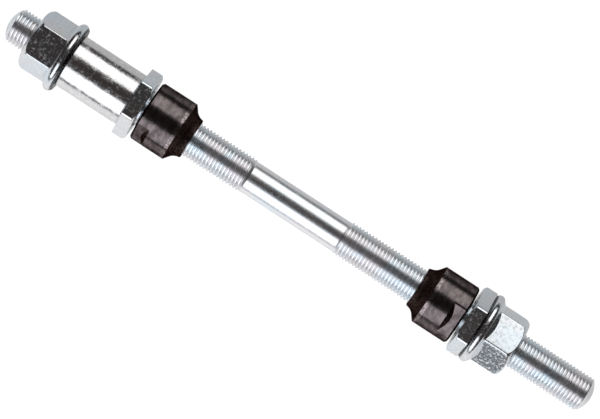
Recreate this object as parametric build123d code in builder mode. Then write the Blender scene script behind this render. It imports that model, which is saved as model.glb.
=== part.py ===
"""A bicycle's rear hub axle: threaded axle, two bearing cones with locknuts, spacer and two flanged wheel nuts.

Sizes are in millimetres. The axle lies along X with its middle at the origin and the freewheel (drive) side at -X.
Each screwed piece is drawn standing on its seat, with Z along the axle, and is then placed at its station.
"""

import os
from math import cos, pi, radians, sqrt, tan

from build123d import *

os.makedirs("parts", exist_ok=True)

# Axle
axle_length = 175.0
thread_diameter = 9.5
plain_diameter = 8.8
plain_start = 71.9  # from the drive end to the unthreaded middle
plain_length = 28.4
thread_runout = 0.5
tip_height = 1.9  # how far each domed end stands out of the thread

# Where the nuts stand, from the tips of the axle
drive_stub = 7.0
far_stub = 22.7

# Every piece that is screwed on the axle
thread_clearance = 0.05

# Wheel nuts, for a 15 mm spanner
nut_height = 11.3
nut_across_flats = 14.8
nut_corner_radius = 0.8
crown_height = 1.8
crown_face_diameter = 12.2
nut_bore_chamfer = 0.5
flange_diameter = 19.5
flange_rim_radius = 1.3
flange_bevel = 0.45  # at the edge of the serrated face, deeper than its grooves
flange_slope = 55.0  # of the flange's back, measured from the axle
serration_count = 36
serration_depth = 0.32
serration_angle = 90.0
recess_diameter = 12.4
recess_depth = 0.4

# Spacer sleeve between the drive-side locknut and wheel nut
spacer_length = 18.5
spacer_diameter = 14.6
spacer_clearance = 0.2
spacer_chamfer = 0.3

# Locknuts, for a 17 mm spanner
locknut_thickness = 4.0
locknut_across_flats = 16.8
locknut_corner_radius = 1.0
locknut_face_diameter = 17.6
locknut_chamfer_angle = 38.0

# Bearing cones, whose races take quarter-inch balls
cone_length = 14.0
cone_diameter = 16.4
cone_face_diameter = 14.2
cone_face_chamfer = 0.7
cone_across_flats = 13.7
flat_length = 4.3  # along the cylinder, up to where the flats run out
flat_shoulder_slope = 45.0
race_radius = 3.45
race_start_diameter = 13.0
race_start = 2.2  # from the cone's inner end, as the next one
race_shoulder = 3.5
race_end_diameter = 11.1
nose_chamfer = 0.15

# How far each piece is turned: a corner or flat, read round the axle from straight up (+Z) towards -Y
drive_nut_turn = 33.7
drive_locknut_turn = 25.1
drive_cone_turn = 62.0
far_cone_turn = 21.5
far_locknut_turn = 35.8
far_nut_turn = 13.9

# Stations along X
drive_tip = -axle_length / 2
far_tip = axle_length / 2
drive_nut_seat = drive_tip + drive_stub + nut_height
drive_locknut_seat = drive_nut_seat + spacer_length
drive_cone_seat = drive_locknut_seat + locknut_thickness
far_nut_seat = far_tip - far_stub - nut_height
far_cone_seat = far_nut_seat - locknut_thickness

thread_radius = thread_diameter / 2
screwed_bore_radius = thread_radius + thread_clearance


def station(x, facing):
    """The plane across the axle at x, with its normal pointing to facing (1 or -1) and its x axis up."""
    return Plane(origin=(x, 0, 0), x_dir=(0, 0, 1), z_dir=(facing, 0, 0))


# Axle
with BuildPart() as axle:
    dome_radius = (thread_radius**2 + tip_height**2) / (2 * tip_height)
    plain_end = plain_start + plain_length
    with BuildSketch(Plane.XZ):
        with BuildLine():
            drive_dome = RadiusArc((drive_tip, 0), (drive_tip + tip_height, thread_radius), dome_radius)
            far_dome = RadiusArc((far_tip - tip_height, thread_radius), (far_tip, 0), dome_radius)
            Polyline(
                drive_dome @ 1,
                (drive_tip + plain_start, thread_radius),
                (drive_tip + plain_start + thread_runout, plain_diameter / 2),
                (drive_tip + plain_end - thread_runout, plain_diameter / 2),
                (drive_tip + plain_end, thread_radius),
                far_dome @ 0,
            )
            Line(far_dome @ 1, drive_dome @ 0)
        make_face()
    revolve(axis=Axis.X)

# One radial groove of the wheel nut's serrated face
with BuildPart() as groove:
    groove_start = recess_diameter / 2 - recess_depth
    mouth = serration_depth * tan(radians(serration_angle / 2))
    with BuildSketch(Plane.YZ.offset(groove_start)):
        Polygon((-2 * mouth, -serration_depth), (2 * mouth, -serration_depth), (0, serration_depth), align=None)
    extrude(amount=flange_diameter / 2 - groove_start)

# The wheel nut's hexagon, with rounded corners and a crown that is part of a sphere
with BuildPart() as hexagon:
    rim_height = flange_bevel + flange_rim_radius * cos(pi / 4)
    with BuildSketch(Plane.XY.offset(rim_height)):
        RegularPolygon(nut_across_flats / 2, 6, major_radius=False)
    extrude(amount=nut_height - rim_height)
    fillet(hexagon.edges().filter_by(Axis.Z), nut_corner_radius)
    corner_reach = nut_across_flats / 2 / cos(pi / 6)
    face_radius = crown_face_diameter / 2
    crown_centre = nut_height - (crown_height**2 + corner_reach**2 - face_radius**2) / (2 * crown_height)
    with Locations((0, 0, crown_centre)):
        Sphere(sqrt(face_radius**2 + (nut_height - crown_centre) ** 2), mode=Mode.INTERSECT)

# Wheel nut, standing on its serrated face: a round-rimmed flange, the hexagon and the threaded bore
with BuildPart() as wheel_nut:
    with BuildSketch(Plane.XZ):
        with BuildLine():
            rim_centre = (flange_diameter / 2 - flange_rim_radius, rim_height)
            rim = CenterArc(rim_centre, flange_rim_radius, -45, 45 + flange_slope)
            slope_end = (rim @ 1).Y + ((rim @ 1).X - thread_radius) / tan(radians(flange_slope))
            bevel_start = (rim @ 0).X - flange_bevel
            Polyline(rim @ 1, (thread_radius, slope_end), (0, slope_end), (0, 0), (bevel_start, 0), rim @ 0)
        make_face()
    revolve(axis=Axis.Z)
    with BuildSketch():
        Circle(recess_diameter / 2)
    extrude(amount=recess_depth, mode=Mode.SUBTRACT)
    with PolarLocations(0, serration_count):
        add(groove.part, mode=Mode.SUBTRACT)
    add(hexagon.part)
    Hole(screwed_bore_radius)
    outer_rims = wheel_nut.edges().filter_by(GeomType.CIRCLE).group_by(Axis.Z)[-1]
    chamfer(outer_rims.sort_by(SortBy.RADIUS)[0], nut_bore_chamfer)

# Locknut, standing on its flat side, with its chamfered side up
with BuildPart() as locknut:
    with BuildSketch():
        RegularPolygon(locknut_across_flats / 2, 6, major_radius=False)
    extrude(amount=locknut_thickness)
    fillet(locknut.edges().filter_by(Axis.Z), locknut_corner_radius)
    corner_reach = locknut_across_flats / 2 / cos(pi / 6)
    face_radius = locknut_face_diameter / 2
    chamfer_drop = (corner_reach - face_radius) * tan(radians(locknut_chamfer_angle))
    with BuildSketch(Plane.XZ):
        Polygon(
            (0, 0),
            (corner_reach, 0),
            (corner_reach, locknut_thickness - chamfer_drop),
            (face_radius, locknut_thickness),
            (0, locknut_thickness),
            align=None,
        )
    revolve(axis=Axis.Z, mode=Mode.INTERSECT)
    Hole(screwed_bore_radius)

# What is milled off a cone for its two spanner flats, down to a shoulder that slopes up to the cylinder
with BuildPart() as flat_cutter:
    cone_radius = cone_diameter / 2
    cut_depth = cone_radius - cone_across_flats / 2
    with BuildSketch(Plane.XZ):
        Polygon(
            (cone_radius - 2 * cut_depth, -cut_depth),
            (cone_radius + cut_depth, -cut_depth),
            (cone_radius + cut_depth, flat_length + cut_depth / tan(radians(flat_shoulder_slope))),
            (cone_radius - 2 * cut_depth, flat_length - 2 * cut_depth / tan(radians(flat_shoulder_slope))),
            align=None,
        )
    revolve(axis=Axis.Z)
    with BuildSketch():
        Rectangle(cone_across_flats, 2 * cone_diameter)
    extrude(amount=cone_length, both=True, mode=Mode.SUBTRACT)

# Bearing cone, standing on its outer end, with its ground race up
with BuildPart() as cone:
    with BuildSketch(Plane.XZ):
        with BuildLine():
            race = RadiusArc(
                (race_start_diameter / 2, cone_length - race_start),
                (race_end_diameter / 2, cone_length - nose_chamfer),
                race_radius,
            )
            Polyline(
                race @ 1,
                (race_end_diameter / 2 - nose_chamfer, cone_length),
                (0, cone_length),
                (0, 0),
                (cone_face_diameter / 2, 0),
                (cone_radius, cone_face_chamfer),
                (cone_radius, cone_length - race_shoulder),
                race @ 0,
            )
        make_face()
    revolve(axis=Axis.Z)
    Hole(screwed_bore_radius)
    add(flat_cutter.part, mode=Mode.SUBTRACT)

# Spacer, standing on one end
with BuildPart() as sleeve:
    Cylinder(spacer_diameter / 2, spacer_length, align=(Align.CENTER, Align.CENTER, Align.MIN))
    chamfer(sleeve.edges().filter_by(GeomType.CIRCLE), spacer_chamfer)
    Hole(thread_radius + spacer_clearance)

# Each piece at its station on the axle
with BuildPart(station(drive_nut_seat, -1)) as drive_wheel_nut:
    add(wheel_nut.part, rotation=(0, 0, -drive_nut_turn))
with BuildPart(station(drive_nut_seat, 1)) as spacer:
    add(sleeve.part)
with BuildPart(station(drive_locknut_seat, 1)) as drive_locknut:
    add(locknut.part, rotation=(0, 0, drive_locknut_turn))
with BuildPart(station(drive_cone_seat, 1)) as drive_cone:
    add(cone.part, rotation=(0, 0, drive_cone_turn))
with BuildPart(station(far_cone_seat, -1)) as far_cone:
    add(cone.part, rotation=(0, 0, -far_cone_turn))
with BuildPart(station(far_nut_seat, -1)) as far_locknut:
    add(locknut.part, rotation=(0, 0, -far_locknut_turn))
with BuildPart(station(far_nut_seat, 1)) as far_wheel_nut:
    add(wheel_nut.part, rotation=(0, 0, far_nut_turn))

axle.part.label = "axle"
drive_wheel_nut.part.label = "drive_wheel_nut"
spacer.part.label = "spacer"
drive_locknut.part.label = "drive_locknut"
drive_cone.part.label = "drive_cone"
far_cone.part.label = "far_cone"
far_locknut.part.label = "far_locknut"
far_wheel_nut.part.label = "far_wheel_nut"

export_step(axle.part, "parts/axle.step")
export_step(drive_wheel_nut.part, "parts/drive_wheel_nut.step")
export_step(spacer.part, "parts/spacer.step")
export_step(drive_locknut.part, "parts/drive_locknut.step")
export_step(drive_cone.part, "parts/drive_cone.step")
export_step(far_cone.part, "parts/far_cone.step")
export_step(far_locknut.part, "parts/far_locknut.step")
export_step(far_wheel_nut.part, "parts/far_wheel_nut.step")
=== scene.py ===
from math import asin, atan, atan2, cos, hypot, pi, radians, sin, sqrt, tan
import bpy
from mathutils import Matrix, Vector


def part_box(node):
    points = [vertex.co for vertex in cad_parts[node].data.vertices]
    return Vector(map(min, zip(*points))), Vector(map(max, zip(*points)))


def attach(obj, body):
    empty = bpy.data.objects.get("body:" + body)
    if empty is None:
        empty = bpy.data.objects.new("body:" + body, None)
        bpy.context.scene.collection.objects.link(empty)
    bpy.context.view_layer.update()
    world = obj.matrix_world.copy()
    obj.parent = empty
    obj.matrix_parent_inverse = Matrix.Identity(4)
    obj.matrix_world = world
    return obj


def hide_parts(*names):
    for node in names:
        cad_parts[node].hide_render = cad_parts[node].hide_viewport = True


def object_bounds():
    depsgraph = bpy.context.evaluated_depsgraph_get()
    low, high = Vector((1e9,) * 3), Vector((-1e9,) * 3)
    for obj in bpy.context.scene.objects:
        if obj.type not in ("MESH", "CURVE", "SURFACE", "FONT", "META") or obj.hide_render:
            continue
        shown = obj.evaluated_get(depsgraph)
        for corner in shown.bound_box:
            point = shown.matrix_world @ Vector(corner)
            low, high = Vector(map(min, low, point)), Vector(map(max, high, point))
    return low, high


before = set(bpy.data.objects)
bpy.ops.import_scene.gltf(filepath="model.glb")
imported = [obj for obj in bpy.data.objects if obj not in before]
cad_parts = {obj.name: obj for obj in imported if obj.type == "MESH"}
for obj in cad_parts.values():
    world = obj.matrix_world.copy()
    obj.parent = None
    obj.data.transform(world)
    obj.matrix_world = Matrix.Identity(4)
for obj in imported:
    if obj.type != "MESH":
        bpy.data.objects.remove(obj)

# A bicycle's rear hub axle, dressed over its CAD frame and lying on a pale table under two soft lights.
# Each piece is drawn in millimetres, standing on its seat with Z along the axle, and then put at its
# station. The axle itself and the spacer stand on their drive ends.

from types import SimpleNamespace

import bmesh
import bpy
from bpy.props import FloatProperty, FloatVectorProperty, IntProperty, PointerProperty
from mathutils import Matrix, Vector

bl_info = {
    "name": "Rear hub axle",
    "version": (1, 0, 0),
    "blender": (4, 5, 0),
    "location": "View3D > Sidebar > Hub Axle",
    "description": "Models a rear hub axle: threads, cones, locknuts, spacer and flanged wheel nuts",
    "category": "Add Mesh",
}

MM = 0.001
CAD_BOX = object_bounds()
WHITE = (1.0, 1.0, 1.0, 1.0)
SHARP = radians(38)  # edges that turn further are sharp

# In millimetres
SAME_PLACE = 1e-4  # points this close are merged
TINY = 1e-5  # shorter edges are dissolved, and points this near a cut lie on it
THREAD_PLAY = 0.05  # from the axle's crests out to a screwed bore
NUT_ROOT = 0.52  # from the axle's crests out to the roots of a wheel nut's thread
NUT_MOUTH = 0.62  # from the axle's crests out to the mouth of a wheel nut's bore


def extent(node, axis):
    """A CAD node's lowest and highest coordinate on an axis, in millimetres."""
    low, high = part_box(node)
    return low[axis] / MM, high[axis] / MM


def thread_radius():
    """Radius of the axle's crests, in millimetres."""
    return extent("axle", 2)[1]


def seat_and_height(node, facing):
    """The seat of a CAD node that faces +X or -X, and how high it stands, in millimetres."""
    low, high = extent(node, 0)
    return (low if facing > 0 else high), high - low


def length(name, description, default):
    """A length property. The default is given in millimetres."""
    return FloatProperty(
        name=name, description=description, default=default * MM, min=0, unit="LENGTH", precision=5
    )


def angle(name, description, default):
    """An angle property. The default is given in degrees."""
    return FloatProperty(name=name, description=description, default=radians(default), subtype="ANGLE")


def colour(name, description, default):
    """A colour property."""
    return FloatVectorProperty(
        name=name, description=description, default=default, subtype="COLOR", min=0, max=1
    )


def brightness(name, description, default):
    """A brightness property."""
    return FloatProperty(name=name, description=description, default=default, min=0)


def count(name, description, default, least):
    """A whole number property."""
    return IntProperty(name=name, description=description, default=default, min=least)


def millimetres(group):
    """A property group's values by name, with its lengths in millimetres."""
    values = {}
    for prop in group.bl_rna.properties:
        if prop.identifier not in ("rna_type", "name"):
            value = getattr(group, prop.identifier)
            values[prop.identifier] = value / MM if getattr(prop, "unit", "NONE") == "LENGTH" else value
    return SimpleNamespace(**values)


# Sizes and colours that a user may change


class AxleSizes(bpy.types.PropertyGroup):
    pitch: length("Thread pitch", "Length of one turn of the thread, 26 turns to the inch", 25.4 / 26)
    flank: angle("Thread angle", "Between the two flanks of a thread", 60)
    crest_flat: length("Crest flat", "Width of the flat on each crest", 0.3)
    root_flat: length("Root flat", "Width of the flat between two threads", 0.1)
    plain_start: length("Plain start", "From the drive end to the unthreaded middle", 71.9)
    plain_length: length("Plain length", "Length of the unthreaded middle", 28.4)
    plain_diameter: length("Plain diameter", "Diameter of the unthreaded middle", 8.8)
    tip_height: length("Tip height", "How far each domed end stands out of the thread", 1.9)
    facets: count("Facets", "Faces round one turn of the thread", 64, 12)


class WheelNutSizes(bpy.types.PropertyGroup):
    across_flats: length("Across flats", "Width of the hexagon from flat to flat", 14.8)
    corner_radius: length("Corner radius", "Rounding of the hexagon's corners", 0.55)
    crown_height: length("Crown height", "From the end face down to where the crown meets a corner", 1.8)
    crown_face: length("Crown face", "Diameter of the flat end face", 12.2)
    crown_radius: length("Crown radius", "Radius of the crown's bulge", 2.7)
    rim_radius: length("Rim radius", "Rounding of the flange's rim", 1.3)
    bevel: length("Flange bevel", "Bevel at the edge of the serrated face", 0.45)
    slope: angle("Flange slope", "Slope of the flange's back, measured from the axle", 55)
    recess_diameter: length("Recess diameter", "Recess in the middle of the serrated face", 12.4)
    recess_depth: length("Recess depth", "Depth of that recess", 0.4)
    serration_depth: length("Serration depth", "Depth of the radial grooves in the bearing face", 0.32)
    serrations: count("Serrations", "Radial grooves in the bearing face", 36, 6)
    drive_turn: angle("Drive nut turn", "Where a corner of the drive-side nut points, from up", 33.7)
    far_turn: angle("Far nut turn", "Where a corner of the far nut points, from up", 13.9)


class LocknutSizes(bpy.types.PropertyGroup):
    across_flats: length("Across flats", "Width of the hexagon from flat to flat", 16.8)
    corner_radius: length("Corner radius", "Rounding of the hexagon's corners", 1.0)
    face_diameter: length("Face diameter", "Diameter of the chamfered side's face", 17.6)
    chamfer_angle: angle("Chamfer angle", "Slope of the chamfered corners", 38)
    bore_chamfer: length("Bore chamfer", "Chamfer at the mouths of the threaded bore", 0.5)
    play: length("Play", "How far the chamfered side stands back from the cone", 0.32)
    drive_turn: angle("Drive locknut turn", "Where a corner of the drive one points, from up", 25.1)
    far_turn: angle("Far locknut turn", "Where a corner of the far one points, from up", 35.8)


class ConeSizes(bpy.types.PropertyGroup):
    play: length("Play", "Gap left at the outer end, in front of the locknut", 0.4)
    face_chamfer: length("Face chamfer", "Chamfer round the outer end, also of the flats", 0.5)
    bore_chamfer: length("Bore chamfer", "Chamfer at the outer mouth of the threaded bore", 0.5)
    across_flats: length("Across flats", "Width over the two spanner flats", 13.7)
    flat_length: length("Flat length", "Length of the flats along the cylinder", 4.3)
    race_radius: length("Race radius", "Radius of the ball race's hollow", 3.45)
    race_start_diameter: length("Race start diameter", "Outer diameter of the race", 13.0)
    race_start: length("Race start", "From the inner end to where the race starts", 2.2)
    race_shoulder: length("Race shoulder", "From the inner end to the shoulder's outer edge", 3.5)
    race_end_diameter: length("Race end diameter", "Inner diameter of the race", 11.1)
    nose_chamfer: length("Nose chamfer", "Chamfer at the inner end", 0.15)
    worn_edge: length("Worn edge", "Width of the brighter edge beside the shoulder", 1.0)
    drive_turn: angle("Drive cone turn", "Where a flat of the drive-side cone faces, from up", 62)
    far_turn: angle("Far cone turn", "Where a flat of the far cone faces, from up", 21.5)


class SpacerSizes(bpy.types.PropertyGroup):
    clearance: length("Clearance", "Play between the spacer and the axle's crests", 0.2)
    chamfer: length("Chamfer", "Chamfer of the spacer's outer edges", 0.3)


class FinishColours(bpy.types.PropertyGroup):
    zinc: colour("Zinc", "Bluish zinc plate of the nuts and locknuts", (0.73, 0.81, 0.87))
    rolled_zinc: colour("Rolled zinc", "Bright zinc plate of the rolled axle", (0.87, 0.95, 1.0))
    turned_zinc: colour("Turned zinc", "Zinc plate of the turned spacer", (0.8, 0.8, 0.79))
    black_steel: colour("Black steel", "Brown-black hardened steel of the cones", (0.15, 0.126, 0.127))
    scale: colour("Scale", "Dull black scale of the cones' races and ends", (0.045, 0.03, 0.027))


class StudioSettings(bpy.types.PropertyGroup):
    camera_height: length("Camera height", "From the axle's centre line up to the camera", 860)
    lens: FloatProperty(
        name="Lens", description="Focal length on a 36 mm wide sensor", default=204.2, unit="CAMERA"
    )
    roll: angle("Roll", "How far the axle slopes down to the right in the picture", 33.07)
    light_reach: length("Light reach", "From the axle to the middle of each soft light", 600)
    light_length: length("Light length", "Length of each soft light along the axle", 520)
    upper_tilt: angle("Upper tilt", "From straight up to the middle of the light above", 52.5)
    upper_width: angle("Upper width", "Angle that the light above covers, seen from the axle", 47)
    lower_tilt: angle("Lower tilt", "From straight up to the middle of the light below", 56)
    lower_width: angle("Lower width", "Angle that the light below covers, seen from the axle", 54)
    upper_level: brightness("Upper level", "Brightness of the light above", 1.35)
    lower_level: brightness("Lower level", "Brightness of the light below", 1.6)
    lower_colour: colour("Lower colour", "Colour of the light below, a cooler one", (0.93, 0.95, 1.0))
    room: colour("Room", "Light of the dark room round the object", (0.035, 0.029, 0.028))


class HubAxleSettings(bpy.types.PropertyGroup):
    axle: PointerProperty(type=AxleSizes)
    wheel_nut: PointerProperty(type=WheelNutSizes)
    locknut: PointerProperty(type=LocknutSizes)
    cone: PointerProperty(type=ConeSizes)
    spacer: PointerProperty(type=SpacerSizes)
    colours: PointerProperty(type=FinishColours)
    studio: PointerProperty(type=StudioSettings)


# Shapes


def corner_half(across_flats, corner_radius):
    """Angle from the middle of a rounded hexagon's corner to where its rounding ends."""
    return pi / 6 - atan((across_flats / 2 - corner_radius) / (across_flats / 2) * tan(pi / 6))


def hexagon_turns(across_flats, corner_radius, flat_steps, corner_steps):
    """Angles round a rounded hexagon, from the middle of one corner. Steps are closer at the corners."""
    half = corner_half(across_flats, corner_radius)
    turns = []
    for corner in range(6):
        middle = corner * pi / 3
        turns += [middle + half * step / (corner_steps / 2) for step in range(corner_steps // 2)]
        flat = pi / 3 - 2 * half
        turns += [middle + half + flat * step / flat_steps for step in range(flat_steps)]
        next_start = middle + pi / 3 - half
        turns += [next_start + half * step / (corner_steps / 2) for step in range(corner_steps // 2)]
    return turns


def hexagon_reach(across_flats, corner_radius, turn):
    """Distance from the middle of a rounded hexagon to its outline. A corner points to turn 0."""
    off_corner = (turn + pi / 6) % (pi / 3) - pi / 6
    flat = across_flats / 2 / cos(pi / 6 - abs(off_corner))
    centre = (across_flats / 2 - corner_radius) / cos(pi / 6)
    if abs(off_corner) >= corner_half(across_flats, corner_radius):
        return flat
    return centre * cos(off_corner) + sqrt(corner_radius**2 - (centre * sin(off_corner)) ** 2)


def bowed(start, end, radius, steps):
    """Points on the arc between two (radius, height) points. A positive radius bows it to the left."""
    start, end = Vector(start), Vector(end)
    chord = end - start
    side = Vector((-chord.y, chord.x)).normalized()
    rise = sqrt(radius**2 - (chord.length / 2) ** 2)
    centre = (start + end) / 2 - side * rise * (1 if radius > 0 else -1)
    first, last = start - centre, end - centre
    sweep = last.angle_signed(first)
    return [centre + Matrix.Rotation(sweep * step / steps, 2) @ first for step in range(steps + 1)]


def eased(corners, steps=3, limit=0.45):
    """Rounds the corners of a section.

    A corner is (radius, height, turn), and a rounded one also has its ease: how far it is cut back along
    the two edges that meet there. Limit is the largest share of an edge that is cut back.
    """
    places = [Vector(corner[:3]) for corner in corners]
    section = []
    for index, corner in enumerate(corners):
        ease = corner[3] if len(corner) > 3 else 0
        place = places[index]
        if not ease:
            section.append(place)
            continue
        before, after = places[index - 1], places[(index + 1) % len(places)]
        ends = []
        for other in (before, after):
            gap = hypot(other.x - place.x, other.y - place.y)
            ends.append(place.lerp(other, min(ease / gap, limit)) if gap > 1e-6 else place.copy())
        for step in range(steps + 1):
            share = step / steps
            section.append(ends[0].lerp(place, share).lerp(place.lerp(ends[1], share), share))
    return section


def turned(sections, closed):
    """Spins a profile round Z, and gives each step its own section of (radius, height, turn) points."""
    bm = bmesh.new()
    ring = bm.verts.layers.int.new("ring")
    points, steps = len(sections[0]), len(sections)
    line = [bm.verts.new((1, 0, index)) for index in range(points)]
    for index, vert in enumerate(line):
        vert[ring] = index
    edges = [bm.edges.new(pair) for pair in zip(line, line[1:])]
    if closed:
        edges.append(bm.edges.new((line[-1], line[0])))
    bmesh.ops.spin(bm, geom=line + edges, axis=(0, 0, 1), angle=2 * pi, steps=steps, use_merge=True)
    for vert in bm.verts:
        step = round(atan2(vert.co.y, vert.co.x) / (2 * pi) * steps) % steps
        radius, height, turn = sections[step][vert[ring]]
        vert.co = (radius * cos(turn), radius * sin(turn), height)
    return bm


def wound(tooth, pitch, turns, facets):
    """Winds a right-hand tooth, a list of (radius, height), round Z and repeats it up the axis."""
    bm = bmesh.new()
    line = [bm.verts.new((radius, 0, height)) for radius, height in tooth]
    edges = [bm.edges.new(pair) for pair in zip(line, line[1:])]
    bmesh.ops.spin(
        bm,
        geom=line + edges,
        axis=(0, 0, 1),
        dvec=(0, 0, pitch / facets),
        angle=2 * pi,
        steps=facets,
        use_merge=False,
    )
    one_turn = bm.verts[:] + bm.edges[:] + bm.faces[:]
    for turn in range(1, turns):
        copy = bmesh.ops.duplicate(bm, geom=one_turn)["geom"]
        moved = [item for item in copy if isinstance(item, bmesh.types.BMVert)]
        bmesh.ops.translate(bm, vec=(0, 0, turn * pitch), verts=moved)
    bmesh.ops.remove_doubles(bm, verts=bm.verts, dist=SAME_PLACE)
    return bm


def cropped(bm, low, high):
    """Cuts a thread square at two heights and drops what lies outside them."""
    for height, facing in ((low, -1), (high, 1)):
        bmesh.ops.bisect_plane(
            bm,
            geom=bm.verts[:] + bm.edges[:] + bm.faces[:],
            dist=TINY,
            plane_co=(0, 0, height),
            plane_no=(0, 0, facing),
            clear_outer=True,
        )


def taken_in(bm, other):
    """Adds another mesh in the making to this one."""
    carrier = bpy.data.meshes.new("carrier")
    other.to_mesh(carrier)
    other.free()
    bm.from_mesh(carrier)
    bpy.data.meshes.remove(carrier)


def open_edges(bm, height):
    """The open edges at a height."""
    return [
        edge
        for edge in bm.edges
        if edge.is_boundary and all(abs(vert.co.z - height) < 1e-3 for vert in edge.verts)
    ]


def station(x, facing, turn=0.0):
    """From a piece that stands on its seat, in millimetres, to its place on the axle, in metres."""
    axes = Matrix(((0, 0, facing), (0, -facing, 0), (1, 0, 0))).to_4x4()
    spun = Matrix.Rotation(facing * turn, 4, "Z")
    return Matrix.Translation((x * MM, 0, 0)) @ axes @ spun @ Matrix.Scale(MM, 4)


def placed(bm, name, node, body, material, place):
    """Closes a piece's mesh, puts it at its station and has it stand for its CAD node."""
    bmesh.ops.remove_doubles(bm, verts=bm.verts, dist=SAME_PLACE)
    bmesh.ops.dissolve_degenerate(bm, dist=TINY, edges=bm.edges)
    bmesh.ops.recalc_face_normals(bm, faces=bm.faces)
    if any(not edge.is_manifold for edge in bm.edges):
        raise RuntimeError(f"{name} has open or doubled edges")
    bm.transform(place)
    mesh = bpy.data.meshes.new(name)
    bm.to_mesh(mesh)
    bm.free()
    mesh.materials.append(material)
    mesh.shade_smooth()
    mesh.set_sharp_from_angle(angle=SHARP)
    piece = bpy.data.objects.new(name, mesh)
    bpy.context.collection.objects.link(piece)
    weighted = piece.modifiers.new("Flat faces stay flat", "WEIGHTED_NORMAL")
    weighted.keep_sharp = True
    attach(piece, body)
    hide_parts(node)
    return piece


# Finishes


class Wire:
    """An output of a node that takes part in Python arithmetic: each operation adds its Math node."""

    def __init__(self, finish, socket):
        self.finish, self.socket = finish, socket

    def _with(self, operation, *terms):
        return self.finish.node("ShaderNodeMath", {"operation": operation}, dict(enumerate(terms)))

    def __add__(self, other):
        return self._with("ADD", self, other)

    def __sub__(self, other):
        return self._with("SUBTRACT", self, other)

    def __rsub__(self, other):
        return self._with("SUBTRACT", other, self)

    def __mul__(self, other):
        return self._with("MULTIPLY", self, other)

    def __pow__(self, other):
        return self._with("POWER", self, other)

    def __abs__(self):
        return self._with("ABSOLUTE", self)

    def most(self, other):
        return self._with("MAXIMUM", self, other)

    __radd__, __rmul__ = __add__, __mul__


class Finish:
    """A node tree in the making, of a material or of the world."""

    def __init__(self, owner):
        owner.use_nodes = True
        self.owner, self.tree = owner, owner.node_tree
        self.tree.nodes.clear()

    def node(self, kind, settings, inputs, output=0):
        """Adds a node, sets it, fills its sockets with values or wires, and returns an output."""
        node = self.tree.nodes.new(kind)
        for name, value in settings.items():
            setattr(node, name, value)
        for name, value in inputs.items():
            if isinstance(value, Wire):
                self.tree.links.new(value.socket, node.inputs[name])
            else:
                node.inputs[name].default_value = value
        return Wire(self, node.outputs[output]) if node.outputs else None

    def noise(self, size, detail=2.0, roughness=0.5, stretch=(1.0, 1.0, 1.0)):
        """Noise fixed to the piece, with blotches about size millimetres across, from 0 to 1."""
        place = self.node("ShaderNodeTexCoord", {}, {}, "Object")
        place = self.node("ShaderNodeMapping", {}, {"Vector": place, "Scale": stretch})
        grain = {"Vector": place, "Scale": 0.6 / (size * MM), "Detail": detail, "Roughness": roughness}
        return self.node("ShaderNodeTexNoise", {}, grain, "Fac")

    def mix(self, share, first, second):
        """A colour between two colours."""
        sockets = {0: share, 6: first, 7: second}
        return self.node("ShaderNodeMix", {"data_type": "RGBA", "clamp_factor": True}, sockets, 2)

    def step(self, value, low, high):
        """Rises smoothly from 0 to 1 as a value goes from low to high."""
        reach = {"Value": value, "From Min": low, "From Max": high}
        return self.node("ShaderNodeMapRange", {"interpolation_type": "SMOOTHSTEP"}, reach)

    def bump(self, height, depth):
        """A normal bumped by a height between 0 and 1, over a depth in millimetres."""
        sockets = {"Strength": 1.0, "Distance": depth * MM, "Height": height}
        return self.node("ShaderNodeBump", {}, sockets)

    def attribute(self, name):
        """A number that the piece's mesh carries."""
        return self.node("ShaderNodeAttribute", {"attribute_name": name}, {}, "Fac")

    def ray(self, kind):
        """1 where a ray of a kind, such as Camera, meets the surface."""
        return self.node("ShaderNodeLightPath", {}, {}, f"Is {kind} Ray")

    def surface(self, kind, sockets):
        """Ends the tree in a shader of a kind and its output."""
        shader = self.node(kind, {}, sockets)
        owner = "World" if isinstance(self.owner, bpy.types.World) else "Material"
        self.node(f"ShaderNodeOutput{owner}", {}, {"Surface": shader})
        return self.owner


def shaded(tint, factor):
    """A colour made darker or lighter by a factor."""
    return (*(min(channel * factor, 1.0) for channel in tint), 1.0)


def zinc_plate(name, tint, lump, lump_height, roughness, frost):
    """Bright zinc plate with lumps of a given size and height, in millimetres.

    Frost is what its frosted spots add to the roughness. Painted shade darkens it in the crevices that
    the mesh marks.
    """
    finish = Finish(bpy.data.materials.new(name))
    lumps = finish.noise(lump, 3.0, 0.6)
    clouds = finish.noise(lump * 7, 2.0)
    frosted = finish.step(finish.noise(lump * 0.6, 3.0, 0.65), 0.48, 0.68)
    grey = sum(tint) / 3
    bluish, greyish = shaded(tint, 1.0), (grey, 0.985 * grey, grey, 1.0)
    frost_colour, shade_colour = shaded(tint, 1.3), shaded(tint, 0.05)
    plate = finish.mix(finish.step(clouds, 0.35, 0.65), bluish, greyish)
    plate = finish.mix(frosted, plate, frost_colour)
    sockets = {
        # painted shade: crevices marked on the mesh are darkened towards black
        "Base Color": finish.mix(0.9 * finish.attribute("painted_shade") ** 3, plate, shade_colour),
        "Metallic": 1.0,
        "Roughness": roughness + 0.06 * clouds + frost * frosted,
        "Normal": finish.bump(lumps, lump_height),
    }
    return finish.surface("ShaderNodeBsdfPrincipled", sockets)


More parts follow.
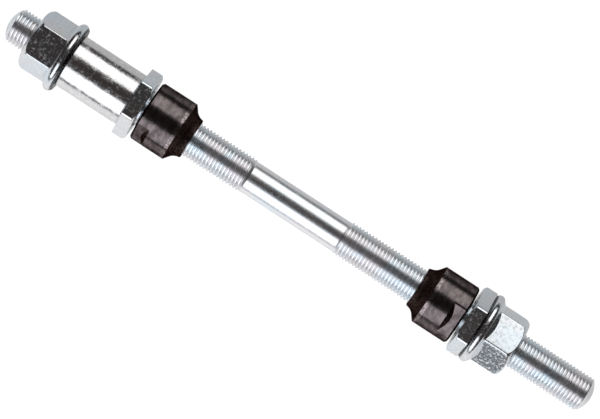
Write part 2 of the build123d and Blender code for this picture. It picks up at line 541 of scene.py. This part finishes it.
def black_steel(name, tint, scale):
    """Satin brown-black steel with fine turning lines round it.

    It is dull and dark where the scale attribute is 1, and brighter in spots where the worn one is 1.
    """
    finish = Finish(bpy.data.materials.new(name))
    lines = finish.noise(0.5, 3.0, 0.6, (5.0, 0.25, 0.25))
    grain = finish.noise(0.3, 2.0, 0.6)
    clouds = finish.noise(1.2, 4.0, 0.7, (1.5, 0.7, 0.7))
    scaly, worn = finish.attribute("scale"), finish.attribute("worn")
    satin = finish.mix(finish.step(clouds, 0.35, 0.65), shaded(tint, 0.6), shaded(tint, 1.3))
    satin = finish.mix(worn * finish.step(grain, 0.42, 0.6), satin, shaded(tint, 2.4))
    crust = finish.mix(finish.step(grain, 0.35, 0.65), shaded(scale, 0.5), shaded(scale, 1.7))
    sockets = {
        "Base Color": finish.mix(scaly, satin, crust),
        "Metallic": 1.0,
        "Roughness": 0.15 + 0.12 * lines + 0.25 * scaly,
        "Specular Tint": (0.25, 0.25, 0.25, 1.0),
        "Normal": finish.bump(lines + grain, 0.012),
    }
    return finish.surface("ShaderNodeBsdfPrincipled", sockets)


def pale_table(name):
    """A white table that keeps the object's shadow.

    For metal it glows as a painted reflection, pale near the object and painted dark further away. On the
    lower side of the picture the glowing part is wider and brighter. Distances are in metres.
    """
    pale_to, dark_from, lower_wider, side_blend = 0.04, 0.14, 0.2, 0.03
    painted_glow, lower_painted_glow = 0.24, 0.36
    finish = Finish(bpy.data.materials.new(name))
    to_camera, to_glass = finish.ray("Camera"), finish.ray("Transmission")
    to_metal = finish.ray("Glossy")
    place = finish.node("ShaderNodeTexCoord", {}, {}, "Object")
    along = finish.node("ShaderNodeSeparateXYZ", {}, {"Vector": place}, "X")
    across = finish.node("ShaderNodeSeparateXYZ", {}, {"Vector": place}, "Y")
    past_tips = (abs(along) - CAD_BOX[1][0]).most(0.0)
    lower_side = finish.step(across, side_blend, -side_blend)
    away = (past_tips**2 + across**2) ** 0.5
    near = finish.step(away, dark_from + lower_wider * lower_side, pale_to)
    # painted reflection: for metal only, the table glows near the object, brighter on the lower side
    painted_reflection = near * (painted_glow + lower_painted_glow * lower_side)
    # for metal, the table's colour is painted dark away from the object
    white_unless_painted_dark = 1 - to_metal * (1 - near)
    sockets = {
        "Base Color": finish.mix(white_unless_painted_dark, (0.02, 0.02, 0.02, 1.0), (0.8, 0.8, 0.8, 1.0)),
        "Roughness": 1.0,
        "Specular IOR Level": 0.0,
        "Emission Color": 0.84 * to_camera.most(to_glass) + to_metal * painted_reflection,
        "Emission Strength": 1.0,
    }
    return finish.surface("ShaderNodeBsdfPrincipled", sockets)


def kept(name, make, **details):
    """A finish by name, made the first time that a piece asks for it."""
    return bpy.data.materials.get(name) or make(name, **details)


# Operators


class HUB_AXLE_OT_axle(bpy.types.Operator):
    """Roll the axle: a right-hand thread at both ends, a plain middle and domed tips"""

    bl_idname = "hub_axle.axle"
    bl_label = "Axle"

    def execute(self, context):
        settings = context.scene.hub_axle
        size = millimetres(settings.axle)
        drive_tip, whole = seat_and_height("axle", 1)
        crest, pitch = thread_radius(), size.pitch
        depth = (pitch - size.crest_flat - size.root_flat) / 2 / tan(size.flank / 2)
        root = crest - depth
        tooth = [
            (crest, -size.crest_flat / 2),
            (crest, size.crest_flat / 2),
            (root, (pitch - size.root_flat) / 2),
            (root, (pitch + size.root_flat) / 2),
            (crest, pitch - size.crest_flat / 2),
        ]
        spare_turns = 3
        bm = wound(tooth, pitch, int(whole / pitch) + spare_turns, size.facets)
        bmesh.ops.translate(bm, vec=(0, 0, -spare_turns / 2 * pitch), verts=bm.verts)

        # The thread runs out into the plain middle and the domes, and painted shade darkens its valleys
        runout, into_plain, least_radius, valley_shade = 1.1, 0.5, 0.1, 0.6
        dome = (crest**2 + size.tip_height**2) / (2 * size.tip_height)
        plain_end = size.plain_start + size.plain_length
        painted_shade = bm.verts.layers.float.new("painted_shade")
        for vert in bm.verts:
            radius, height = hypot(vert.co.x, vert.co.y), vert.co.z
            off_plain = max(size.plain_start - height, height - plain_end) + into_plain
            rolled = min(max(off_plain / runout, 0.0), 1.0)
            # painted shade in the thread's valleys, deepest at the roots
            vert[painted_shade] = valley_shade * rolled * (crest - radius) / depth
            kept_radius = size.plain_diameter / 2 + (radius - size.plain_diameter / 2) * rolled
            off_tip = max(min(height, whole - height), 0.0)
            if off_tip < size.tip_height:
                kept_radius = min(kept_radius, sqrt(dome**2 - (dome - off_tip) ** 2))
            vert.co.xy *= max(kept_radius, least_radius) / radius

        # The thread is cut off part of the way up each dome, and plain rings close the rest
        trim, rings = 0.6 * size.tip_height, 9
        cropped(bm, trim, whole - trim)
        first = asin(sqrt(dome**2 - (dome - trim) ** 2) / dome)
        for tip, way in ((0.0, 1), (whole, -1)):
            loop = open_edges(bm, tip + way * trim)
            for ring in range(1, rings):
                at = first * (1 - ring / rings)
                grown = bmesh.ops.extrude_edge_only(bm, edges=loop)["geom"]
                edges = [item for item in grown if isinstance(item, bmesh.types.BMEdge)]
                loop = [edge for edge in edges if edge.is_boundary]
                for vert in {vert for edge in loop for vert in edge.verts}:
                    vert.co.xy *= dome * sin(at) / hypot(vert.co.x, vert.co.y)
                    vert.co.z = tip + way * dome * (1 - cos(at))
            rim = list({vert for edge in loop for vert in edge.verts})
            bmesh.ops.pointmerge(bm, verts=rim, merge_co=(0, 0, tip))

        tint = settings.colours.rolled_zinc
        zinc = kept(
            "rolled_zinc", zinc_plate, tint=tint, lump=0.6, lump_height=0.012, roughness=0.25, frost=0.1
        )
        placed(bm, "threaded_axle", "axle", "axle_set", zinc, station(drive_tip, 1))
        return {"FINISHED"}


class HUB_AXLE_OT_wheel_nuts(bpy.types.Operator):
    """Forge the two wheel nuts: a crowned, threaded hexagon on a round flange with a serrated face"""

    bl_idname = "hub_axle.wheel_nuts"
    bl_label = "Wheel Nuts"

    def nut(self, size, thread, height, flange):
        """One wheel nut of a height and flange radius, standing on its serrated face."""
        corner_steps, rim_steps, crown_steps = 6, 10, 40
        foot_ease, crown_ease, face_ease = 0.15, 0.16, 0.1
        parts = 4  # of a serration: groove, edge, land and edge
        flat_steps = parts * size.serrations // 6 - corner_steps
        turns = hexagon_turns(size.across_flats, size.corner_radius, flat_steps, corner_steps)
        tooth_angle = 2 * pi / size.serrations
        depth = size.serration_depth
        rim_height = size.bevel + size.rim_radius * cos(pi / 4)
        rim_centre = flange - size.rim_radius
        sweep = pi / 4 + size.slope
        rim = [
            (rim_centre + size.rim_radius * cos(at), rim_height + size.rim_radius * sin(at))
            for at in (-pi / 4 + sweep * step / rim_steps for step in range(rim_steps + 1))
        ]
        bevel_start = rim[0][0] - size.bevel
        corner_reach = size.across_flats / 2 / cos(pi / 6)
        face = size.crown_face / 2
        crown_start = (corner_reach, height - size.crown_height)
        crown = bowed(crown_start, (face, height), -size.crown_radius, crown_steps)
        mouth = thread_radius() + NUT_MOUTH

        def crown_level(radius):
            """Height of the crown at a radius."""
            for low, high in zip(crown, crown[1:]):
                if high.x <= radius <= low.x:
                    return low.y + (high.y - low.y) * (low.x - radius) / (low.x - high.x)
            return height

        sections = []
        for step, turn in enumerate(turns):
            groove, part = step // parts * tooth_angle, step % parts

            def groove_turn(radius):
                """Where this step's part of the serration lies at a radius of the serrated face."""
                half = asin(depth / radius)
                return groove + (0, half, tooth_angle / 2, tooth_angle - half)[part]

            bottom = depth if part == 0 else 0
            reach = hexagon_reach(size.across_flats, size.corner_radius, turn)
            wall = size.recess_diameter / 2
            corners = [
                (mouth, size.recess_depth, turn),
                (wall, size.recess_depth, turn),
                (wall, bottom, groove_turn(wall)),
                (bevel_start + bottom, bottom, groove_turn(bevel_start)),
                (bevel_start + depth, depth, groove_turn(bevel_start)),
            ]
            corners += [(radius, level, turn) for radius, level in rim]
            foot = rim[-1][1] + (rim[-1][0] - reach) / tan(size.slope)
            corners.append((reach, foot, turn, foot_ease))
            corners.append((reach, crown_level(reach), turn, crown_ease))
            for share in (0.25, 0.5, 0.75):
                radius = reach + (face - reach) * share
                corners.append((radius, crown_level(radius), turn))
            corners.append((face, height, turn, face_ease))
            corners.append((mouth, height, turn))
            sections.append(eased(corners))
        bm = turned(sections, closed=False)

        # Painted shade darkens the serrated face with its grooves, recess and bevel, where the nut bears
        # on its neighbour
        past_bevel = 0.05
        painted_shade = bm.verts.layers.float.new("painted_shade")
        for vert in bm.verts:
            # painted shade on the face that bears on the next part
            vert[painted_shade] = float(vert.co.z < size.bevel + past_bevel)

        # The bore's thread stays clear of the axle's crests, so that the nut can slide off. Both of its
        # mouths are countersunk, to just past its roots
        crest, root = thread_radius() + THREAD_PLAY, thread_radius() + NUT_ROOT
        pitch, spare_turns, past_root = thread.pitch, 3, 0.02
        tooth = [
            (crest, -pitch / 8),
            (crest, pitch / 8),
            (root, pitch * 7 / 16),
            (root, pitch * 9 / 16),
            (crest, pitch * 7 / 8),
        ]
        bore = wound(tooth, pitch, int(height / pitch) + spare_turns, thread.facets)
        bmesh.ops.translate(bore, vec=(0, 0, -pitch), verts=bore.verts)
        low, high = size.recess_depth, height
        for vert in bore.verts:
            radius = hypot(vert.co.x, vert.co.y)
            countersunk = root + past_root - max(min(vert.co.z - low, high - vert.co.z), 0.0)
            vert.co.xy *= max(radius, countersunk) / radius
        cropped(bore, low, high)
        taken_in(bm, bore)
        for level in (low, high):
            bmesh.ops.bridge_loops(bm, edges=open_edges(bm, level))
        return bm

    def execute(self, context):
        settings = context.scene.hub_axle
        size, thread = millimetres(settings.wheel_nut), millimetres(settings.axle)
        tint = settings.colours.zinc
        zinc = kept(
            "forged_zinc", zinc_plate, tint=tint, lump=0.7, lump_height=0.008, roughness=0.15, frost=0.24
        )
        for name, node, body, facing, turn in (
            ("drive_flange_nut", "drive_wheel_nut", "drive_nut", -1, size.drive_turn),
            ("far_flange_nut", "far_wheel_nut", "far_nut", 1, size.far_turn),
        ):
            seat, height = seat_and_height(node, facing)
            bm = self.nut(size, thread, height, extent(node, 2)[1])
            placed(bm, name, node, body, zinc, station(seat, facing, turn))
        return {"FINISHED"}


class HUB_AXLE_OT_spacer(bpy.types.Operator):
    """Turn the spacer sleeve between the drive-side locknut and wheel nut"""

    bl_idname = "hub_axle.spacer"
    bl_label = "Spacer"

    def execute(self, context):
        settings = context.scene.hub_axle
        size = millimetres(settings.spacer)
        seat, whole = seat_and_height("spacer", 1)
        outer, bore = extent("spacer", 2)[1], thread_radius() + size.clearance
        steps, side_ease, end_ease = 144, 0.1, 0.06
        sections = []
        for step in range(steps):
            turn = 2 * pi * step / steps
            corners = [
                (bore, 0, turn, side_ease),
                (outer - size.chamfer, 0, turn, end_ease),
                (outer, size.chamfer, turn, side_ease),
                (outer, whole - size.chamfer, turn, side_ease),
                (outer - size.chamfer, whole, turn, end_ease),
                (bore, whole, turn, side_ease),
            ]
            sections.append(eased(corners))
        bm = turned(sections, closed=True)
        tint = settings.colours.turned_zinc
        zinc = kept(
            "brushed_zinc", zinc_plate, tint=tint, lump=1.1, lump_height=0.06, roughness=0.17, frost=0.14
        )
        placed(bm, "spacer_sleeve", "spacer", "axle_set", zinc, station(seat, 1))
        return {"FINISHED"}


class HUB_AXLE_OT_locknuts(bpy.types.Operator):
    """Make the two locknuts, chamfered on the side that faces the cone"""

    bl_idname = "hub_axle.locknuts"
    bl_label = "Locknuts"

    def execute(self, context):
        settings = context.scene.hub_axle
        size = millimetres(settings.locknut)
        bore, face = thread_radius() + THREAD_PLAY, size.face_diameter / 2
        flat_steps, corner_steps = 20, 6
        ease, apart = 0.14, 0.02  # the chamfer's two edges stay apart where it cuts nothing
        tint = settings.colours.zinc
        zinc = kept(
            "pressed_zinc", zinc_plate, tint=tint, lump=0.7, lump_height=0.008, roughness=0.15, frost=0.18
        )
        turns = hexagon_turns(size.across_flats, size.corner_radius, flat_steps, corner_steps)
        for name, node, facing, turn_up in (
            ("drive_locknut_hex", "drive_locknut", 1, size.drive_turn),
            ("far_locknut_hex", "far_locknut", -1, size.far_turn),
        ):
            seat, height = seat_and_height(node, facing)
            thickness = height - size.play
            sections = []
            for turn in turns:
                reach = hexagon_reach(size.across_flats, size.corner_radius, turn)
                cut = max(reach - face, 0.0)
                corners = [
                    (bore, size.bore_chamfer, turn),
                    (bore + size.bore_chamfer, 0, turn),
                    (reach, 0, turn, ease),
                    (reach, thickness - apart - cut * tan(size.chamfer_angle), turn, ease),
                    (min(reach - apart, face), thickness, turn, ease),
                    (bore + size.bore_chamfer, thickness, turn),
                    (bore, thickness - size.bore_chamfer, turn),
                ]
                sections.append(eased(corners))
            bm = turned(sections, closed=True)
            placed(bm, name, node, "axle_set", zinc, station(seat, facing, turn_up))
        return {"FINISHED"}


class HUB_AXLE_OT_cones(bpy.types.Operator):
    """Turn the two bearing cones, with spanner flats at one end and a ground ball race at the other"""

    bl_idname = "hub_axle.cones"
    bl_label = "Cones"

    def execute(self, context):
        settings = context.scene.hub_axle
        size, colours = millimetres(settings.cone), settings.colours
        bore = thread_radius() + THREAD_PLAY
        half_flat_steps, round_steps, race_steps = 22, 46, 10
        ease, shoulder_ease, nose_ease = 0.06, 0.08, 0.05
        rounding, sloped = 0.1, 0.25
        steel = kept("satin_black_steel", black_steel, tint=colours.black_steel, scale=colours.scale)
        for name, node, facing, turn_up in (
            ("drive_cone_turned", "drive_cone", 1, size.drive_turn),
            ("far_cone_turned", "far_cone", -1, size.far_turn),
        ):
            seat, whole = seat_and_height(node, facing)
            outer, flat, end = max(extent(node, 2)), size.across_flats / 2, size.play
            half = atan(sqrt(outer**2 - flat**2) / flat)
            on_flat = [half * (step / half_flat_steps - 1) for step in range(2 * half_flat_steps)]
            off_flat = [half + (pi - 2 * half) * step / round_steps for step in range(round_steps)]
            turns = on_flat + off_flat + [pi + turn for turn in on_flat + off_flat]
            race = bowed(
                (size.race_start_diameter / 2, whole - size.race_start),
                (size.race_end_diameter / 2, whole - size.nose_chamfer),
                size.race_radius,
                race_steps,
            )
            sections = []
            for turn in turns:
                reach = min(flat / max(abs(cos(turn)), 0.1), outer)
                shoulder = size.flat_length - (outer - reach)
                corners = [
                    (bore, end + size.bore_chamfer, turn),
                    (bore + size.bore_chamfer, end, turn),
                    (reach - size.face_chamfer, end, turn, ease),
                    (reach, end + size.face_chamfer, turn, ease),
                    (reach, shoulder, turn, ease),
                    (outer, size.flat_length, turn, ease),
                    (outer, whole - size.race_shoulder - size.worn_edge, turn),
                    (outer, whole - size.race_shoulder, turn, shoulder_ease),
                    (race[0].x, race[0].y, turn, nose_ease),
                ]
                corners += [(point.x, point.y, turn) for point in race[1:-1]]
                corners += [
                    (race[-1].x, race[-1].y, turn, nose_ease),
                    (race[-1].x - size.nose_chamfer, whole, turn, nose_ease),
                    (bore, whole, turn),
                ]
                sections.append(eased(corners))
            bm = turned(sections, closed=True)

            # Scale covers the race and all sloped and end faces, and a worn band lies beside the race
            bm.normal_update()
            edge = whole - size.race_shoulder - rounding
            scaly, worn = bm.faces.layers.float.new("scale"), bm.faces.layers.float.new("worn")
            for face in bm.faces:
                middle = face.calc_center_median().z
                face[scaly] = float(middle > edge or abs(face.normal.z) > sloped)
                face[worn] = float(edge - size.worn_edge < middle < edge)
            placed(bm, name, node, "axle_set", steel, station(seat, facing, turn_up))
        return {"FINISHED"}


class HUB_AXLE_OT_studio(bpy.types.Operator):
    """Set the camera over a pale table, with a long soft light on each side of the axle"""

    bl_idname = "hub_axle.studio"
    bl_label = "Studio"

    def execute(self, context):
        scene = context.scene
        studio = scene.hub_axle.studio
        scene.view_settings.view_transform = "Standard"

        camera = bpy.data.cameras.new("camera")
        camera.lens, camera.sensor_width = studio.lens, 36
        camera.clip_start, camera.clip_end = 0.01, 20
        eye = bpy.data.objects.new("camera", camera)
        above = Matrix.Translation((0, 0, studio.camera_height))
        aim = Matrix.Translation((0, 0.1 * MM, 0))
        eye.matrix_world = above @ Matrix.Rotation(studio.roll, 4, "Z") @ aim
        scene.collection.objects.link(eye)
        scene.camera = eye

        table_facets, table_radius = 64, 3.0
        bm = bmesh.new()
        bmesh.ops.create_circle(bm, cap_ends=True, segments=table_facets, radius=table_radius)
        bmesh.ops.translate(bm, vec=(0, 0, CAD_BOX[0][2]), verts=bm.verts)
        mesh = bpy.data.meshes.new("table")
        bm.to_mesh(mesh)
        bm.free()
        mesh.materials.append(kept("pale_table", pale_table))
        table = bpy.data.objects.new("table", mesh)
        scene.collection.objects.link(table)

        away = Matrix.Translation((0, 0, studio.light_reach))
        for side, tilt, width, level, tint in (
            ("upper", -studio.upper_tilt, studio.upper_width, studio.upper_level, WHITE[:3]),
            ("lower", studio.lower_tilt, studio.lower_width, studio.lower_level, studio.lower_colour),
        ):
            lamp = bpy.data.lights.new(f"{side}_softbox", "AREA")
            lamp.shape, lamp.size = "RECTANGLE", studio.light_length
            lamp.size_y = 2 * studio.light_reach * tan(width / 2)
            lamp.energy = level * pi * lamp.size * lamp.size_y
            lamp.color = tint
            softbox = bpy.data.objects.new(f"{side}_softbox", lamp)
            softbox.matrix_world = Matrix.Rotation(tilt, 4, "X") @ away
            softbox.visible_camera = False
            scene.collection.objects.link(softbox)

        world = bpy.data.worlds.new("dark_room")
        scene.world = world
        room = Finish(world)
        shade = room.mix(room.ray("Camera"), (*studio.room, 1.0), WHITE)
        room.surface("ShaderNodeBackground", {"Color": shade, "Strength": 1.0})
        return {"FINISHED"}


class HUB_AXLE_PT_panel(bpy.types.Panel):
    """The hub axle's pieces and sizes"""

    bl_idname = "HUB_AXLE_PT_panel"
    bl_label = "Hub Axle"
    bl_space_type = "VIEW_3D"
    bl_region_type = "UI"
    bl_category = "Hub Axle"

    def draw(self, context):
        settings = context.scene.hub_axle
        for operator in OPERATORS:
            self.layout.operator(operator.bl_idname)
        for name in settings.bl_rna.properties.keys():
            group = getattr(settings, name)
            if isinstance(group, bpy.types.PropertyGroup):
                box = self.layout.box()
                box.label(text=settings.bl_rna.properties[name].name)
                for prop in group.bl_rna.properties:
                    if prop.identifier not in ("rna_type", "name"):
                        box.prop(group, prop.identifier)


OPERATORS = (
    HUB_AXLE_OT_studio,
    HUB_AXLE_OT_axle,
    HUB_AXLE_OT_wheel_nuts,
    HUB_AXLE_OT_spacer,
    HUB_AXLE_OT_locknuts,
    HUB_AXLE_OT_cones,
)
CLASSES = (
    AxleSizes,
    WheelNutSizes,
    LocknutSizes,
    ConeSizes,
    SpacerSizes,
    FinishColours,
    StudioSettings,
    HubAxleSettings,
    *OPERATORS,
    HUB_AXLE_PT_panel,
)


def register():
    for cls in CLASSES:
        bpy.utils.register_class(cls)
    bpy.types.Scene.hub_axle = PointerProperty(type=HubAxleSettings)


def unregister():
    del bpy.types.Scene.hub_axle
    for cls in reversed(CLASSES):
        bpy.utils.unregister_class(cls)


def main():
    register()
    for operator in OPERATORS:
        group, name = operator.bl_idname.split(".")
        getattr(getattr(bpy.ops, group), name)()


if __name__ == "__main__":
    main()
